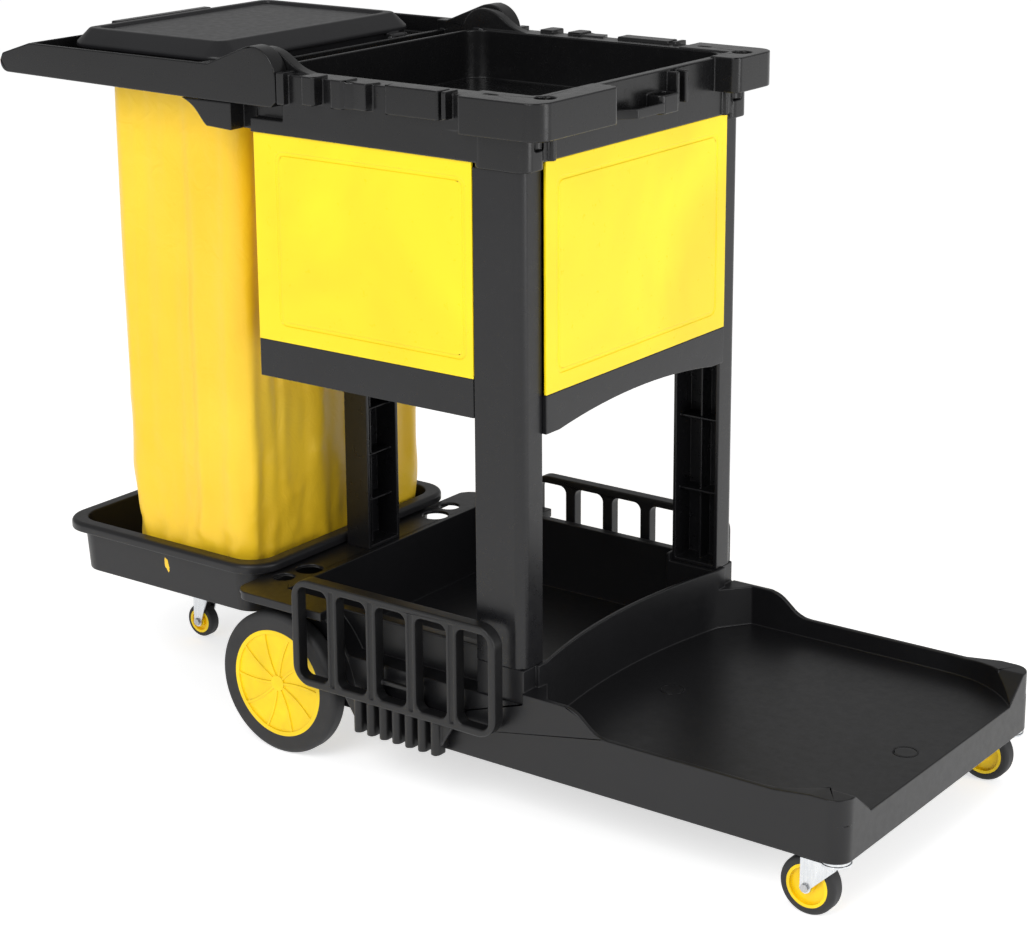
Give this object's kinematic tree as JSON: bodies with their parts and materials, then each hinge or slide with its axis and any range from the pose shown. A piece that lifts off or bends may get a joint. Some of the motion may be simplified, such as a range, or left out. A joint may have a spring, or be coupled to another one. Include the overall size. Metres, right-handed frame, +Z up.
{
  "type": "housekeeping cart",
  "caption": "Black moulded housekeeping cart with a cabinet of yellow panels, a yellow waste bag under a folding lidded frame, a front platform, two big wheels and swivel castors.",
  "frame": {"origin": "on the floor, under the middle of the overall length and width", "axes": "+X runs along the cart towards the front platform, +Y to the cart's left, +Z up"},
  "size_m": [1.3281, 0.56, 0.963],
  "materials": {
    "black_moulding": "fine textured, semi-matte",
    "black_lid": "smooth satin",
    "yellow_panel": "semi-gloss",
    "yellow_hub": "semi-gloss",
    "yellow_bag": "vinyl-coated cloth, soft sheen",
    "grey_tyre": "matt solid rubber",
    "zinc_steel": "bright zinc plated",
    "steel_pin": "plain bright steel"
  },
  "bodies": {
    "cart": {"base": "black_moulding", "column_right": "black_moulding", "column_left": "black_moulding", "rear_post": "black_moulding", "cabinet_shelf": "black_moulding", "side_panel_right": "yellow_panel", "side_panel_left": "yellow_panel", "front_panel": "yellow_panel", "rear_panel": "yellow_panel", "top_tray": "black_moulding", "pivot_pins": "steel_pin", "waste_bag": "yellow_bag", "bag_tray": "black_moulding", "side_rack_right": "black_moulding", "side_rack_left": "black_moulding", "wheel_axle": "steel_pin", "axle_clips": "steel_pin", "castor_front_right_stem": "zinc_steel", "castor_front_left_stem": "zinc_steel", "castor_rear_stem": "zinc_steel"},
    "wheel_right": {"wheel_tyre_right": "grey_tyre", "wheel_hub_right": "yellow_hub", "wheel_cap_right": "yellow_hub"},
    "wheel_left": {"wheel_tyre_left": "grey_tyre", "wheel_hub_left": "yellow_hub", "wheel_cap_left": "yellow_hub"},
    "bag_frame": {"bag_frame": "black_moulding", "lid_hinge_pins": "steel_pin"},
    "bag_lid": {"bag_lid": "black_lid"},
    "castor_front_right_swivel": {"castor_front_right_fork": "zinc_steel", "castor_front_right_bolt": "steel_pin"},
    "castor_front_right_roll": {"castor_front_right_wheel": "yellow_hub", "castor_front_right_tyre": "grey_tyre"},
    "castor_front_left_swivel": {"castor_front_left_fork": "zinc_steel", "castor_front_left_bolt": "steel_pin"},
    "castor_front_left_roll": {"castor_front_left_wheel": "yellow_hub", "castor_front_left_tyre": "grey_tyre"},
    "castor_rear_swivel": {"castor_rear_fork": "zinc_steel", "castor_rear_bolt": "steel_pin"},
    "castor_rear_roll": {"castor_rear_wheel": "yellow_hub", "castor_rear_tyre": "grey_tyre"}
  },
  "joints": [
    {"name": "wheel_right_spin", "type": "hinge", "parent": "cart", "child": "wheel_right", "pos_m": [-0.202, -0.238, 0.1], "axis": [0, 1, 0], "continuous": true},
    {"name": "wheel_left_spin", "type": "hinge", "parent": "cart", "child": "wheel_left", "pos_m": [-0.202, 0.238, 0.1], "axis": [0, 1, 0], "continuous": true},
    {"name": "castor_front_right_swivel", "type": "hinge", "parent": "cart", "child": "castor_front_right_swivel", "pos_m": [0.644, -0.23, 0.074], "axis": [0, 0, 1], "continuous": true},
    {"name": "castor_front_right_roll", "type": "hinge", "parent": "castor_front_right_swivel", "child": "castor_front_right_roll", "pos_m": [0.612, -0.23, 0.0375], "axis": [0, 1, 0], "continuous": true},
    {"name": "castor_front_left_swivel", "type": "hinge", "parent": "cart", "child": "castor_front_left_swivel", "pos_m": [0.644, 0.23, 0.074], "axis": [0, 0, 1], "continuous": true},
    {"name": "castor_front_left_roll", "type": "hinge", "parent": "castor_front_left_swivel", "child": "castor_front_left_roll", "pos_m": [0.612, 0.23, 0.0375], "axis": [0, 1, 0], "continuous": true},
    {"name": "castor_rear_swivel", "type": "hinge", "parent": "cart", "child": "castor_rear_swivel", "pos_m": [-0.556, 0, 0.1], "axis": [0, 0, 1], "continuous": true},
    {"name": "castor_rear_roll", "type": "hinge", "parent": "castor_rear_swivel", "child": "castor_rear_roll", "pos_m": [-0.576, 0, 0.029], "axis": [0, 1, 0], "continuous": true},
    {"name": "bag_frame_fold", "type": "hinge", "parent": "cart", "child": "bag_frame", "pos_m": [-0.202, 0, 0.925], "axis": [0, 1, 0], "range_deg": [0, 90]},
    {"name": "bag_lid_open", "type": "hinge", "parent": "bag_frame", "child": "bag_lid", "pos_m": [-0.298, 0, 0.92], "axis": [0, 1, 0], "range_deg": [0, 95]}
  ]
}
